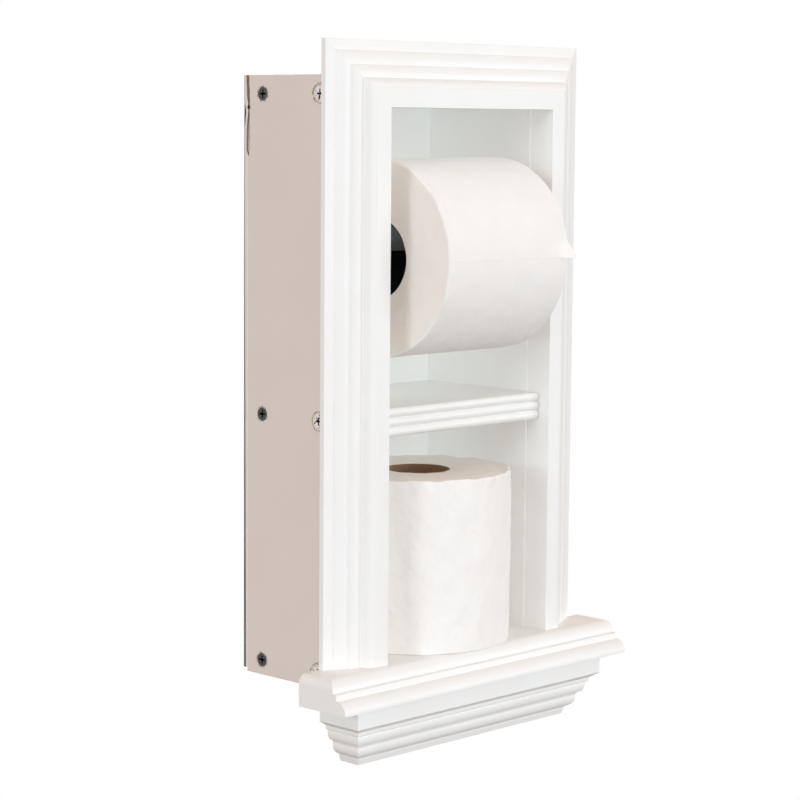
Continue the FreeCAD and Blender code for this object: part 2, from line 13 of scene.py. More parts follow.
import bmesh
import bpy
from mathutils import Matrix, Vector, noise


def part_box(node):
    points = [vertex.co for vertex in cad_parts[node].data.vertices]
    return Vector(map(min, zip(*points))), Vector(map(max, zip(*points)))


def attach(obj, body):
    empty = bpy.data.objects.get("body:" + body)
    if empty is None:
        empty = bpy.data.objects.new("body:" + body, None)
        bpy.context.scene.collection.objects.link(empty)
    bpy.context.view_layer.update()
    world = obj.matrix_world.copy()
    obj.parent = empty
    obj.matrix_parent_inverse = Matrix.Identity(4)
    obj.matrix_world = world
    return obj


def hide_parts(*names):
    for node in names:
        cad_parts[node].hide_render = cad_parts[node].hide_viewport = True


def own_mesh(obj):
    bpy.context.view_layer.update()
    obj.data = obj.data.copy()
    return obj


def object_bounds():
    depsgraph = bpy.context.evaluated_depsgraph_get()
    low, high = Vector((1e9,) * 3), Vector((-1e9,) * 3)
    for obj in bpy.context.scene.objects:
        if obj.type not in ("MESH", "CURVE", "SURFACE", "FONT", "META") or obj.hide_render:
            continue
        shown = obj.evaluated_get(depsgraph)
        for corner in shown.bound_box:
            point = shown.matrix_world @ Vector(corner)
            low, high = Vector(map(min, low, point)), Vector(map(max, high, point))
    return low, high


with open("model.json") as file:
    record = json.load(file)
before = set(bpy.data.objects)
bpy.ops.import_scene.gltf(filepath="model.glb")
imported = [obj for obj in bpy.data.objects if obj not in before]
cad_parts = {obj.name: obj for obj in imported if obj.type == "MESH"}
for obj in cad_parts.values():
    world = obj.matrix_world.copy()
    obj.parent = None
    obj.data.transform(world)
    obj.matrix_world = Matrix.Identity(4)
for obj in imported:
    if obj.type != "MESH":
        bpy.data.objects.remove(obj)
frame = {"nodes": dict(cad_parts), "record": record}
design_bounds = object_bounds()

print("design box, metres:", design_bounds)

# %% [markdown]
# ## Camera and light
# Boards and mouldings are best judged the way a shop shows them: from a little to the left and
# above, through a long lens, so that upright lines stay nearly upright. The holder hangs free
# over a pale floor. A white niche is hard to light, because its inside goes dark as soon as the
# fronts are bright. So an even, warm fill stands for the room's walls, one large softbox stands
# at the front right and one at the left, and a weak light from the camera's side casts no
# shadow and reaches into the niche. A last one behind keeps the back from going black. Light
# that bounces from paint to paint matters here, so more bounces are followed than usual.

# %% Place the camera
CAMERA_PLACE = Vector((-1.09236, -1.03045, 0.15892))
CAMERA_TURN = math.radians(45.47)
CAMERA_DIP = math.radians(6.57)
CAMERA_ROLL = math.radians(0.46)

forward = Vector((math.sin(CAMERA_TURN) * math.cos(CAMERA_DIP),
                  math.cos(CAMERA_TURN) * math.cos(CAMERA_DIP), -math.sin(CAMERA_DIP)))
level_right = Vector((math.cos(CAMERA_TURN), -math.sin(CAMERA_TURN), 0))
level_up = level_right.cross(forward)
right = level_right * math.cos(CAMERA_ROLL) + level_up * math.sin(CAMERA_ROLL)
up = level_up * math.cos(CAMERA_ROLL) - level_right * math.sin(CAMERA_ROLL)

bpy.ops.object.select_all(action="DESELECT")
bpy.ops.object.camera_add(location=CAMERA_PLACE)
camera = bpy.context.object
camera.name = "camera"
turned = Matrix((right, up, -forward)).transposed()
camera.rotation_euler = turned.to_euler()
camera.data.lens = 107.97
camera.data.sensor_width = 36
camera.data.clip_start = 0.05
bpy.context.scene.camera = camera
print("camera looks along", [round(part, 3) for part in forward])


# %% Colours, and one way to add a node
def linear(hex_colour):
    """An sRGB hex colour as the linear red, green, blue and alpha that the nodes take."""
    parts = [int(hex_colour[start:start + 2], 16) / 255 for start in (0, 2, 4)]
    return (*[part / 12.92 if part <= 0.04045 else ((part + 0.055) / 1.055) ** 2.4
              for part in parts], 1)


def add(tree, kind, inputs=None, **settings):
    """Adds a node with its settings, and fills its inputs with values or links."""
    made = tree.nodes.new(kind)
    for name, value in settings.items():
        setattr(made, name, value)
    for name, value in (inputs or {}).items():
        if isinstance(value, bpy.types.NodeSocket):
            tree.links.new(value, made.inputs[name])
        else:
            made.inputs[name].default_value = value
    return made


def new_material(name):
    """An empty material, its node tree, its shader and the socket of its Object coordinates."""
    material = bpy.data.materials.new(name)
    material.use_nodes = True
    tree = material.node_tree
    shader = tree.nodes["Principled BSDF"]
    place = add(tree, "ShaderNodeTexCoord").outputs["Object"]
    return material, tree, shader, place


print("a mid grey in linear:", round(linear("808080")[0], 3))

# %% Light the room
SOFT_LIGHTS = {
    # where it shines from, its strength, how wide it looks in degrees, and if it casts shadows
    "right_softbox": (Vector((0.55, -0.8, 0.12)), 1.45, 30, True),
    "left_softbox": (Vector((-0.97, -0.14, 0.18)), 0.94, 22, True),
    "niche_fill": (Vector((-0.45, -0.85, 0.25)), 1.0, 10, False),
    "rear_softbox": (Vector((0.45, 0.87, 0.2)), 0.9, 40, True),
}
BOUNCES = 16
scene = bpy.context.scene
scene.cycles.max_bounces = BOUNCES
scene.cycles.diffuse_bounces = BOUNCES
scene.view_settings.view_transform = "Standard"
scene.view_settings.look = "None"

room = bpy.data.worlds.new("white_room")
room.use_nodes = True
scene.world = room
walls = room.node_tree
walls.nodes.clear()
seen = add(walls, "ShaderNodeBackground", {"Color": linear("FFFFFF"), "Strength": 1.0})
fill = add(walls, "ShaderNodeBackground", {"Color": linear("FFE6D3"), "Strength": 0.61})
ray = add(walls, "ShaderNodeLightPath")
either = add(walls, "ShaderNodeMixShader", {0: ray.outputs["Is Camera Ray"],
                                            1: fill.outputs[0], 2: seen.outputs[0]})
add(walls, "ShaderNodeOutputWorld", {"Surface": either.outputs[0]})

for name, (shines_from, strength, spread, shadows) in SOFT_LIGHTS.items():
    bpy.ops.object.light_add(type="SUN", location=shines_from)
    softbox = bpy.context.object
    softbox.name = name
    softbox.rotation_euler = shines_from.to_track_quat("Z", "Y").to_euler()
    softbox.data.energy = strength
    softbox.data.angle = math.radians(spread)
    softbox.data.use_shadow = shadows
    softbox.data.color = linear("E0F1FF")[:3]
print("lights:", list(SOFT_LIGHTS))


def keep_dark(*pieces):
    """Keeps the light that casts no shadow out of pieces that lie deep in a hole."""
    fill_light = bpy.data.objects["niche_fill"]
    if fill_light.light_linking.receiver_collection is None:
        fill_light.light_linking.receiver_collection = bpy.data.collections.new("kept_dark")
    dark = fill_light.light_linking.receiver_collection
    for piece in pieces:
        dark.objects.link(piece)
        dark.collection_objects[-1].light_linking.link_state = "EXCLUDE"

# %% Lay the floor
FLOOR_DROP = 0.55
bpy.ops.mesh.primitive_plane_add(size=60, location=(0, 0, design_bounds[0][2] - FLOOR_DROP))
floor = bpy.context.object
floor.name = "floor"
floor_paint, tree, shader, place = new_material("pale_floor")
shader.inputs["Base Color"].default_value = linear("B4B3B1")
shader.inputs["Roughness"].default_value = 0.9
glow = add(tree, "ShaderNodeEmission", {"Color": linear("FFFFFF"), "Strength": 1.0})
ray = add(tree, "ShaderNodeLightPath")
either = add(tree, "ShaderNodeMixShader", {0: ray.outputs["Is Camera Ray"],
                                           1: shader.outputs[0], 2: glow.outputs[0]})
tree.links.new(either.outputs[0], tree.nodes["Material Output"].inputs["Surface"])
floor.data.materials.append(floor_paint)
print("floor lies", FLOOR_DROP, "m under the holder")

# %% [markdown]
# ## White enamel on wood
# The boards and mouldings are softwood with primer and two brushed coats of satin enamel. The
# brush leaves shallow streaks along each piece, and the coat between them has the faint
# unevenness that painters call orange peel. Both could be sculpted, but they are only a few
# hundredths of a millimetre deep, so a bump from stretched noise is enough. One material is
# made for each direction that a piece can run in, because the streaks follow the length.
# Streaks a real brush leaves are about 0.7 mm apart; they are drawn at 1.4 mm so they show.

# %% Make the enamel
MM = 0.001
STREAK = 1.4 * MM
STREAK_LENGTH = 70 * MM
PEEL = 3.2 * MM
CLOUD = 45 * MM


def enamel(name, along, paint="F6F6F4", shade="F1EFEB", rough=0.4):
    """Brushed satin enamel whose streaks run along one axis."""
    material, tree, shader, place = new_material(name)
    stretch = [1 / (STREAK_LENGTH if axis == along else STREAK) for axis in "XYZ"]
    stretched = add(tree, "ShaderNodeMapping", {"Vector": place, "Scale": stretch})
    streaks = add(tree, "ShaderNodeTexNoise", {"Vector": stretched.outputs[0], "Scale": 1.0,
                                               "Detail": 2.0, "Roughness": 0.6})
    peel = add(tree, "ShaderNodeTexNoise", {"Vector": place, "Scale": 1 / PEEL, "Detail": 1.0})
    cloud = add(tree, "ShaderNodeTexNoise", {"Vector": place, "Scale": 1 / CLOUD, "Detail": 3.0})
    tone = add(tree, "ShaderNodeMix", {"Factor": cloud.outputs["Fac"], "A": linear(paint),
                                       "B": linear(shade)}, data_type="RGBA")
    tree.links.new(tone.outputs[2], shader.inputs["Base Color"])
    gloss = add(tree, "ShaderNodeMapRange", {"Value": streaks.outputs["Fac"],
                                             "To Min": rough - 0.06, "To Max": rough + 0.1})
    tree.links.new(gloss.outputs[0], shader.inputs["Roughness"])
    low = add(tree, "ShaderNodeBump", {"Height": peel.outputs["Fac"], "Strength": 0.5,
                                       "Distance": 0.05 * MM})
    fine = add(tree, "ShaderNodeBump", {"Height": streaks.outputs["Fac"], "Strength": 0.6,
                                        "Distance": 0.06 * MM, "Normal": low.outputs[0]})
    tree.links.new(fine.outputs[0], shader.inputs["Normal"])
    shader.inputs["IOR"].default_value = 1.5
    return material


enamel_up = enamel("brushed_enamel_upright", "Z")
enamel_across = enamel("brushed_enamel_across", "X")
enamel_in = enamel("brushed_enamel_inward", "Y")
print("enamels:", enamel_up.name, enamel_across.name, enamel_in.name)


# %% [markdown]
# ## Eased edges
# No painted board has a perfectly sharp edge: sandpaper and paint round it by a fraction of a
# millimetre, and that round is what catches the light. The design model has sharp edges, so
# each wooden piece is shown by a copy. The copy's loose triangles are merged and its flat
# faces joined, and then its long outer edges are bevelled in edit mode. A bevel modifier would
# do the same, but picking the edges in code keeps screw and nail holes out of it.

# %% Helpers that pick parts of a mesh
def pick(kind, test):
    """In edit mode, selects only the edges, faces or vertices that pass the test."""
    bpy.ops.mesh.select_mode(type=kind)
    bpy.ops.mesh.select_all(action="DESELECT")
    mesh = bmesh.from_edit_mesh(bpy.context.edit_object.data)
    parts = {"VERT": mesh.verts, "EDGE": mesh.edges, "FACE": mesh.faces}[kind]
    found = [part for part in parts if test(part)]
    for part in found:
        part.select_set(True)
    bmesh.update_edit_mesh(bpy.context.edit_object.data)
    return len(found)


def start_editing(piece):
    bpy.ops.object.select_all(action="DESELECT")
    bpy.context.view_layer.objects.active = piece
    piece.select_set(True)
    bpy.ops.object.mode_set(mode="EDIT")


def stop_editing():
    bpy.ops.object.mode_set(mode="OBJECT")


TILT = math.radians(25)


def smooth(piece, angle=20):
    """Shades a piece smooth, except across edges sharper than an angle in degrees."""
    bpy.ops.object.select_all(action="DESELECT")
    bpy.context.view_layer.objects.active = piece
    piece.select_set(True)
    bpy.ops.object.shade_smooth_by_angle(angle=math.radians(angle))
    # A sliver of a face at a mitre would tilt the shading of a long step, so such faces are flat
    normals = [corner.vector.copy() for corner in piece.data.corner_normals]
    for face in piece.data.polygons:
        if any(normals[corner].angle(face.normal, 0.0) > TILT for corner in face.loop_indices):
            face.use_smooth = False
    # A narrow bevel would tilt the shading of the long faces beside it, so wide faces decide
    even = piece.modifiers.new("even_shading", "WEIGHTED_NORMAL")
    even.keep_sharp = True
    bpy.ops.object.modifier_apply(modifier=even.name)


def merged_copy(node, name):
    """A copy of a design piece with its loose triangles merged and its flat faces joined."""
    piece = bpy.data.objects.new(name, frame["nodes"][node].data.copy())
    bpy.context.scene.collection.objects.link(piece)
    piece.data.materials.clear()
    start_editing(piece)
    bpy.ops.mesh.select_all(action="SELECT")
    bpy.ops.mesh.remove_doubles(threshold=0.002 * MM)
    bpy.ops.mesh.dissolve_limited(angle_limit=math.radians(0.4))
    stop_editing()
    return piece


def finish_piece(piece, node, *materials):
    """Gives a piece its materials, parents it to the body that owns the design piece it stands for,
    and hides that design piece.
    """
    for material in materials:
        piece.data.materials.append(material)
    owner = next(body for body, members in frame["record"]["behaviour"]["bodies"].items()
                 if node in members)
    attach(piece, owner)
    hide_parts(node)
    return piece


# %% Ease and paint the wood
LONG_EDGE = 8 * MM
SHARP = math.radians(28)
STRAIGHT = 0.99
# An edge is eased only where the faces beside it are wider than this many eases
ROOM = 3
# Corners that easing leaves this close together are made one
CLOSE = 0.01 * MM


def is_long_outer_edge(edge):
    return (len(edge.link_faces) == 2 and edge.is_convex and edge.calc_face_angle() > SHARP
            and edge.calc_length() > LONG_EDGE)


def eased_copy(node, width, segments=2, run=None):
    """A copy with eased edges. run keeps the ease to the edges along a moulding, X, Y or Z,
    because a mitre is a tight joint, and easing its slanting edges would twist the narrow steps."""
    piece = merged_copy(node, f"{node}_painted")
    start_editing(piece)

    def runs_along(edge):
        if run is None:
            return True
        direction = (edge.verts[0].co - edge.verts[1].co).normalized()
        return abs(direction["XYZ".index(run)]) > STRAIGHT

    def has_room(edge):
        length = edge.calc_length()
        return all(face.calc_area() > ROOM * width * length for face in edge.link_faces)

    count = pick("EDGE", lambda edge: is_long_outer_edge(edge) and runs_along(edge)
                 and has_room(edge))
    bpy.ops.mesh.bevel(offset=width, segments=segments, profile=0.5, affect="EDGES",
                       clamp_overlap=False)
    bpy.ops.mesh.select_all(action="SELECT")
    bpy.ops.mesh.remove_doubles(threshold=CLOSE)
    bpy.ops.mesh.dissolve_degenerate(threshold=CLOSE)
    stop_editing()
    smooth(piece)
    print(f"{piece.name}: {count} edges eased, {len(piece.data.polygons)} faces")
    return piece


BOARD_EASE = 0.5 * MM
MOULDING_EASE = 0.22 * MM
WOODWORK = {
    "right_side_board": (BOARD_EASE, enamel_up), "top_board": (BOARD_EASE, enamel_across),
    "bottom_board": (BOARD_EASE, enamel_across), "shelf_board": (BOARD_EASE, enamel_across),
    "shelf_nosing": (MOULDING_EASE, enamel_across),
    "casing_top_rail": (MOULDING_EASE, enamel_across),
    "casing_left_stile": (MOULDING_EASE, enamel_up),
    "casing_right_stile": (MOULDING_EASE, enamel_up),
    "ledge": (MOULDING_EASE, enamel_across), "apron_front": (MOULDING_EASE, enamel_across),
    "apron_left_return": (MOULDING_EASE, enamel_in),
    "apron_right_return": (MOULDING_EASE, enamel_in),
}
RUNS = {enamel_up: "Z", enamel_across: "X", enamel_in: "Y"}
for node, (ease, paint) in WOODWORK.items():
    run = RUNS[paint] if ease == MOULDING_EASE else None
    finish_piece(eased_copy(node, ease, run=run), node, paint)

# %% [markdown]
# ## The outer side, its screws and the split
# The box's sides are hidden once the holder is in the wall, so they got one thin coat of flat
# paint. Round each screw the paint has chipped to a ragged ring of bare wood, and at the top
# of the left side the board's back edge has split along the grain and a sliver has gone. The
# split is a change of shape, so a wedge is cut from the board and the back panel. The chips
# are as thin as paint, so they are drawn by the material: a ring of noise round each screw.

# %% Bare wood and flat paint with chips
CHIP_EDGE = 2.3 * MM
CHIP_RAG = 7.5 * MM
TORN_RIM = 0.9 * MM
SHELTERED = 45 * MM
GRAIN = 0.9 * MM
side_low, side_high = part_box("left_side_board")
screw_low, screw_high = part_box("left_side_screws")
HEAD_RADIUS = 4.2 * MM
SIDE_PAINT = "E3D9D3"
NAIL_HOLE = Vector((side_low.x, 87.6 * MM, 168.2 * MM))
NAIL_HOLE_RADIUS = 1.5 * MM
NAIL_HOLE_REACH = 1.9 * MM
# Bare wood further than this behind the board's back edge lies in the gap, and is painted near
# black there as shade
GAP_STARTS = 1.4 * MM
# The rear screws have lost less paint than the front ones
REAR_CHIP_LESS = 1.3 * MM


def bare_wood():
    """Split softwood: brown fibres along the board, with painted shade, near black, deep in a hole
    or a gap.
    """
    material, tree, shader, place = new_material("split_bare_pine")
    stretched = add(tree, "ShaderNodeMapping",
                    {"Vector": place, "Scale": (1 / GRAIN, 1 / GRAIN, 1 / (25 * GRAIN))})
    fibre = add(tree, "ShaderNodeTexNoise", {"Vector": stretched.outputs[0], "Scale": 1.0,
                                             "Detail": 4.0})
    tone = add(tree, "ShaderNodeMix", {"Factor": fibre.outputs["Fac"], "A": linear("7A6252"),
                                       "B": linear("B79C86")}, data_type="RGBA")
    # Painted shade: wood deep in the pulled nail's hole and in the gap behind the board's back edge
    # is mixed to near black
    gap = add(tree, "ShaderNodeVectorMath", {0: place, 1: tuple(NAIL_HOLE)},
              operation="DISTANCE")
    hole_shade_mask = add(tree, "ShaderNodeMath", {0: gap.outputs["Value"], 1: NAIL_HOLE_REACH},
                  operation="LESS_THAN")
    gap_shade_mask = add(tree, "ShaderNodeMath",
                 {0: add(tree, "ShaderNodeSeparateXYZ", {0: place}).outputs["Y"],
                  1: side_high.y + GAP_STARTS}, operation="GREATER_THAN")
    deep = add(tree, "ShaderNodeMath", {0: hole_shade_mask.outputs[0], 1: gap_shade_mask.outputs[0]},
               operation="MAXIMUM")
    shown = add(tree, "ShaderNodeMix", {"Factor": deep.outputs[0], "A": tone.outputs[2],
                                        "B": linear("14120F")}, data_type="RGBA")
    tree.links.new(shown.outputs[2], shader.inputs["Base Color"])
    rise = add(tree, "ShaderNodeBump", {"Height": fibre.outputs["Fac"], "Strength": 0.8,
                                        "Distance": 0.2 * MM})
    tree.links.new(rise.outputs[0], shader.inputs["Normal"])
    shader.inputs["Roughness"].default_value = 0.85
    return material


def flat_paint(name, screw_middles):
    """Thin flat paint that has chipped off in a ragged ring round each screw."""
    material = enamel(name, "Z", paint=SIDE_PAINT, shade="DDD3CC", rough=0.62)
    tree = material.node_tree
    shader = tree.nodes["Principled BSDF"]
    place = next(node for node in tree.nodes if node.type == "TEX_COORD").outputs["Object"]
    nearest = None
    for middle in screw_middles:
        less = 0.0 if middle[1] < SHELTERED else REAR_CHIP_LESS
        gap = add(tree, "ShaderNodeVectorMath", {0: place, 1: middle}, operation="DISTANCE")
        distance = add(tree, "ShaderNodeMath", {0: gap.outputs["Value"], 1: less},
                       operation="ADD").outputs[0]
        if nearest is None:
            nearest = distance
        else:
            nearest = add(tree, "ShaderNodeMath", {0: nearest, 1: distance},
                          operation="MINIMUM").outputs[0]
    rag = add(tree, "ShaderNodeTexNoise", {"Vector": place, "Scale": 1 / (2.4 * MM),
                                           "Detail": 5.0, "Roughness": 0.8})
    ragged = add(tree, "ShaderNodeMath", {0: rag.outputs["Fac"], 1: -CHIP_RAG, 2: nearest},
                 operation="MULTIPLY_ADD")
    chipped = add(tree, "ShaderNodeMapRange",
                  {"Value": ragged.outputs[0], "From Min": CHIP_EDGE - 0.1 * MM,
                   "From Max": CHIP_EDGE, "To Min": 1.0, "To Max": 0.0})
    inside = add(tree, "ShaderNodeMapRange",
                 {"Value": ragged.outputs[0], "From Min": CHIP_EDGE - TORN_RIM,
                  "From Max": CHIP_EDGE - 0.1 * MM, "To Min": 1.0, "To Max": 0.0})
    bare = add(tree, "ShaderNodeTexNoise", {"Vector": place, "Scale": 1 / (1.1 * MM),
                                            "Detail": 3.0})
    filler = add(tree, "ShaderNodeMix", {"Factor": bare.outputs["Fac"], "A": linear("C9B4A4"),
                                         "B": linear("F4EDE4")}, data_type="RGBA")
    rim = add(tree, "ShaderNodeMix", {"Factor": inside.outputs[0], "A": linear("6E5344"),
                                      "B": filler.outputs[2]}, data_type="RGBA")
    painted = shader.inputs["Base Color"].links[0].from_socket
    both = add(tree, "ShaderNodeMix", {"Factor": chipped.outputs[0], "A": painted,
                                       "B": rim.outputs[2]}, data_type="RGBA")
    tree.links.new(both.outputs[2], shader.inputs["Base Color"])
    step = add(tree, "ShaderNodeBump", {"Height": chipped.outputs[0], "Strength": 1.0,
                                        "Distance": 0.2 * MM,
                                        "Normal": shader.inputs["Normal"].links[0].from_socket},
               invert=True)
    tree.links.new(step.outputs[0], shader.inputs["Normal"])
    return material


shelf_low, shelf_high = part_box("shelf_board")
screw_rows = (screw_low.z + HEAD_RADIUS, (shelf_low.z + shelf_high.z) / 2,
              screw_high.z - HEAD_RADIUS)
screw_columns = (screw_low.y + HEAD_RADIUS, screw_high.y - HEAD_RADIUS)
left_screws = [(side_low.x, y, z) for y in screw_columns for z in screw_rows]
bare_pine = bare_wood()
left_paint = flat_paint("flat_paint_left_side", left_screws)
right_paint = flat_paint("flat_paint_right_side", [(-x, y, z) for x, y, z in left_screws])
print("screws at y", [round(y, 4) for y in screw_columns], "z", [round(z, 4) for z in screw_rows])

# %% Cut the split
RAGGED = 0.16 * MM
SHAKES_PER_METRE = 700
# Each sliver of missing wood: heights from its top to its foot, with the middle's depth into
# the wall and the width there, all in millimetres; then how deep it is cut
SLIVERS = {
    "upper_split": (((189.5, 88.35, 3.4), (175, 87.95, 2.7), (170, 87.65, 1.9),
                     (168, 87.6, 1.2)), 2.2),
    "lower_split": (((168, 87.55, 1.0), (162, 87.9, 2.0), (155, 88.1, 2.8), (142, 88.35, 3.2),
                     (138, 88.0, 0.15)), 1.6),
    "lifted_edge": (((170, 90.9, 0.2), (166, 90.8, 1.1), (160, 91.2, 0.8),
                     (156, 91.4, 0.15)), 2.5),
}


def at_height(stations, z):
    """The middle and width of a sliver at a height, between the stations that it lists."""
    for (high, mid_high, wide_high), (low, mid_low, wide_low) in zip(stations, stations[1:]):
        if z >= low or low == stations[-1][0]:
            share = min(1.0, max(0.0, (high - z) / (high - low)))
            return (mid_high + (mid_low - mid_high) * share,
                    wide_high + (wide_low - wide_high) * share)


def as_bare_wood(cutter):
    cutter.data.materials.append(left_paint)
    cutter.data.materials.append(bare_pine)
    for face in cutter.data.polygons:
        face.material_index = 1
    return cutter


# noise_vector takes its offsets from the clock unless it is seeded
NOISE_SEED = 7
noise.seed_set(NOISE_SEED)


def sliver(name, stations, depth):
    """A cutter in the shape of the missing wood: an upright bar whose sides are shaken."""
    top, foot = stations[0][0], stations[-1][0]
    bpy.ops.object.select_all(action="DESELECT")
    bpy.ops.mesh.primitive_cube_add(size=1, location=(side_low.x, 0, (top + foot) / 2 * MM),
                                    scale=(2 * depth * MM, 1 * MM, (top - foot) * MM))
    cutter = bpy.context.object
    cutter.name = name
    bpy.ops.object.transform_apply(location=True, rotation=True, scale=True)
    start_editing(cutter)
    pick("EDGE", lambda edge: abs((edge.verts[0].co - edge.verts[1].co).normalized().z) > 0.9)
    bpy.ops.mesh.subdivide(number_cuts=16)
    stop_editing()
    for corner in cutter.data.vertices:
        middle, width = at_height(stations, corner.co.z / MM)
        side = math.copysign(0.5, corner.co.y)
        shake = noise.noise_vector(corner.co * SHAKES_PER_METRE)
        corner.co.y = (middle + side * width) * MM + shake.y * RAGGED
        corner.co.x += shake.x * RAGGED * 2
    return as_bare_wood(cutter)


cutters = [sliver(name, stations, depth) for name, (stations, depth) in SLIVERS.items()]
bpy.ops.mesh.primitive_cylinder_add(vertices=14, radius=NAIL_HOLE_RADIUS, depth=14 * MM,
                                    location=NAIL_HOLE, rotation=(0, math.pi / 2, 0))
nail_hole = bpy.context.object
nail_hole.name = "pulled_nail_hole"
bpy.ops.object.transform_apply(location=True, rotation=True, scale=True)
cutters.append(as_bare_wood(nail_hole))
print("cutters:", [cutter.name for cutter in cutters])


# %% Paint the sides and the back panel
def cut_away(piece, tools):
    """Takes the cutters out of a piece; the cut faces keep the cutters' bare wood."""
    for tool in tools:
        cut = piece.modifiers.new("split", "BOOLEAN")
        cut.object = tool
        cut.operation = "DIFFERENCE"
        cut.solver = "MANIFOLD"
        bpy.ops.object.select_all(action="DESELECT")
        bpy.context.view_layer.objects.active = piece
        piece.select_set(True)
        bpy.ops.object.modifier_apply(modifier=cut.name)
    return piece


def paint_faces(piece, index, test):
    for face in piece.data.polygons:
        if test(face):
            face.material_index = index


left_board = eased_copy("left_side_board", BOARD_EASE)
finish_piece(left_board, "left_side_board", enamel_up, bare_pine, left_paint)
cut_away(left_board, cutters)
smooth(left_board)
paint_faces(left_board, 2, lambda face: face.normal.x < -0.3 and face.material_index == 0)
right_board = bpy.data.objects["right_side_board_painted"]
right_board.data.materials.append(right_paint)
paint_faces(right_board, 1, lambda face: face.normal.x > 0.3)
print("left side:", len(left_board.data.polygons), "faces")

# %% [markdown]
# ## The hardboard back
# The back is a 3 mm sheet of hardboard, nailed on. Its front is painted with the rest of the
# niche, its sawn edges were never painted cleanly and look slate grey, and its rear face shows
# the brown pressed fibre. Three materials on one board show all that.

# %% Make the hardboard
FIBRE = 1.5 * MM


def hardboard(name, dark, light):
    material, tree, shader, place = new_material(name)
    fibre = add(tree, "ShaderNodeTexNoise", {"Vector": place, "Scale": 1 / FIBRE,
                                             "Detail": 6.0, "Roughness": 0.65})
    blotch = add(tree, "ShaderNodeTexNoise", {"Vector": place, "Scale": 1 / (40 * MM),
                                              "Detail": 2.0})
    mixed = add(tree, "ShaderNodeMath", {0: fibre.outputs["Fac"], 1: blotch.outputs["Fac"]},
                operation="MULTIPLY")
    spread = add(tree, "ShaderNodeMapRange", {"Value": mixed.outputs[0], "From Min": 0.12,
                                              "From Max": 0.42})
    tone = add(tree, "ShaderNodeMix", {"Factor": spread.outputs[0], "A": linear(dark),
                                       "B": linear(light)}, data_type="RGBA")
    tree.links.new(tone.outputs[2], shader.inputs["Base Color"])
    rise = add(tree, "ShaderNodeBump", {"Height": fibre.outputs["Fac"], "Strength": 0.5,
                                        "Distance": 0.08 * MM})
    tree.links.new(rise.outputs[0], shader.inputs["Normal"])
    shader.inputs["Roughness"].default_value = 0.7
    return material


brown_back = hardboard("pressed_hardboard_back", "5A3E2B", "80593C")
slate_edge = hardboard("smeared_hardboard_edge", "4C5760", "6F7A82")
tree = slate_edge.node_tree
shader = tree.nodes["Principled BSDF"]
place = next(node for node in tree.nodes if node.type == "TEX_COORD").outputs["Object"]
# The sides' paint ran over the edge, nearly all of it at the top and half of it at the foot
OVERRUN = 2.0 * MM
OVERRUN_SLOPE = 0.0049
OVERRUN_BLUR = 0.2 * MM
apart = add(tree, "ShaderNodeSeparateXYZ", {0: place})
limit = add(tree, "ShaderNodeMath", {0: apart.outputs["Z"], 1: OVERRUN_SLOPE,
                                     2: side_high.y + OVERRUN}, operation="MULTIPLY_ADD")
reach = add(tree, "ShaderNodeMath", {0: limit.outputs[0], 1: apart.outputs["Y"]},
            operation="SUBTRACT")
overrun = add(tree, "ShaderNodeMapRange", {"Value": reach.outputs[0], "From Min": -OVERRUN_BLUR,
                                           "From Max": OVERRUN_BLUR})
smeared = add(tree, "ShaderNodeMix",
              {"Factor": overrun.outputs[0],
               "A": shader.inputs["Base Color"].links[0].from_socket,
               "B": linear(SIDE_PAINT)}, data_type="RGBA")
tree.links.new(smeared.outputs[2], shader.inputs["Base Color"])
panel = eased_copy("back_panel", 0.2 * MM)
finish_piece(panel, "back_panel", enamel_up, bare_pine, slate_edge, brown_back)
cut_away(panel, cutters)
smooth(panel)
paint_faces(panel, 2, lambda face: abs(face.normal.x) > 0.5 or abs(face.normal.z) > 0.5)
paint_faces(panel, 3, lambda face: face.normal.y > 0.5)
for cutter in cutters:
    bpy.data.objects.remove(cutter)

# %% [markdown]
# ## Screws, nails and brads
# The screws are zinc-plated steel with a cross recess. The rear ones are bare and a little
# dull; the front ones were brushed over with white paint, which broke when they were driven.
# Nails and brads are bright drawn steel. Their shapes come from the design model, so only
# their metal is made here. The spring inside the roller gets shorter as the roller is pressed;
# here it is only a merged copy with its own mesh, and is not shortened.


# %% Make the steels
# How far below the board's face the screw's cross recess is painted near black as shade
RECESS_SHADE_DEPTH = 0.35 * MM


def steel(name, colour, rough, scratch=0.35 * MM, worn="FFFFFF"):
    """Plated or drawn steel: an even metal colour with fine marks that vary its gloss."""
    material, tree, shader, place = new_material(name)
    marks = add(tree, "ShaderNodeTexNoise", {"Vector": place, "Scale": 1 / scratch,
                                             "Detail": 3.0})
    gloss = add(tree, "ShaderNodeMapRange", {"Value": marks.outputs["Fac"],
                                             "To Min": rough * 0.6, "To Max": rough * 1.4})
    tree.links.new(gloss.outputs[0], shader.inputs["Roughness"])
    tone = add(tree, "ShaderNodeMix", {"Factor": marks.outputs["Fac"], "A": linear(colour),
                                       "B": linear(worn)}, data_type="RGBA",
               blend_type="MULTIPLY")
    tree.links.new(tone.outputs[2], shader.inputs["Base Color"])
    shader.inputs["Metallic"].default_value = 1.0
    return material


